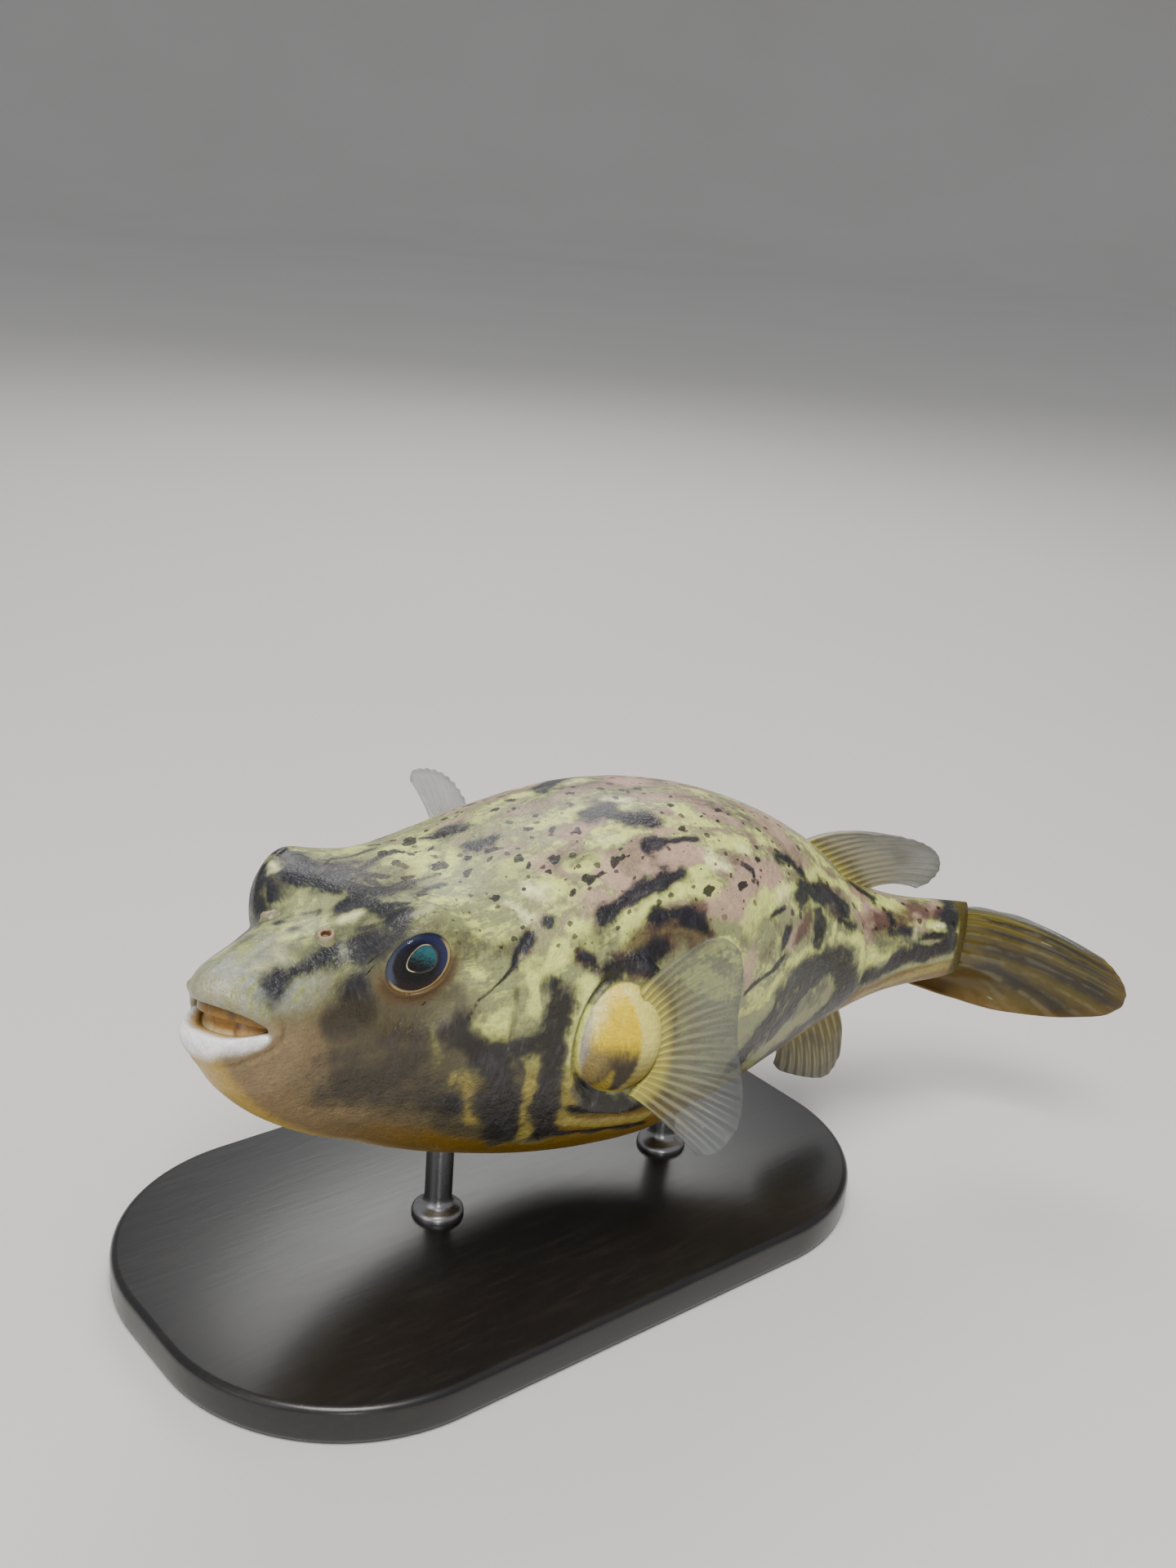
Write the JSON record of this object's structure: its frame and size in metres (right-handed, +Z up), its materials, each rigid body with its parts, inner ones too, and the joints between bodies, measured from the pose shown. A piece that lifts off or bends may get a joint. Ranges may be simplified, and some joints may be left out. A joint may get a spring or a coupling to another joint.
{
  "type": "freshwater pufferfish model on a display stand",
  "caption": "Still life-size model of a spotted and banded freshwater pufferfish, curved to its left with fins spread, held over a low flat base by short rods",
  "frame": {"origin": "centre of the flat underside of the stand's base, on the surface that the model stands on", "axes": "+Z up; the head points to -X and the tail to +X; the fish's left side faces -Y; the base's long side lies along X"},
  "size_m": [0.1698, 0.0841, 0.0738],
  "materials": {
    "skin": "smooth wet skin, pale olive yellow with slate and black-brown bands, blotches and small dark spots, golden belly line",
    "lip": "soft off-white fleshy lips",
    "beak": "golden brown tooth plates",
    "eye": "clear wet eye, navy iris with thin gold rings",
    "fin": "thin translucent olive-yellow membrane with paler rays",
    "base": "black satin lacquer",
    "rod": "brushed stainless steel"
  },
  "bodies": {
    "root": {"head": "skin", "trunk": "skin", "tail_stalk": "skin", "left_nostril": "skin", "right_nostril": "skin", "left_pectoral_base": "skin", "right_pectoral_base": "skin", "upper_lip": "lip", "lower_lip": "lip", "upper_beak": "beak", "lower_beak": "beak", "left_eye": "eye", "right_eye": "eye", "left_pectoral_fin": "fin", "right_pectoral_fin": "fin", "dorsal_fin": "fin", "anal_fin": "fin", "caudal_fin": "fin", "stand_base": "base", "stand_rod_front": "rod", "stand_rod_rear": "rod"}
  },
  "joints": []
}
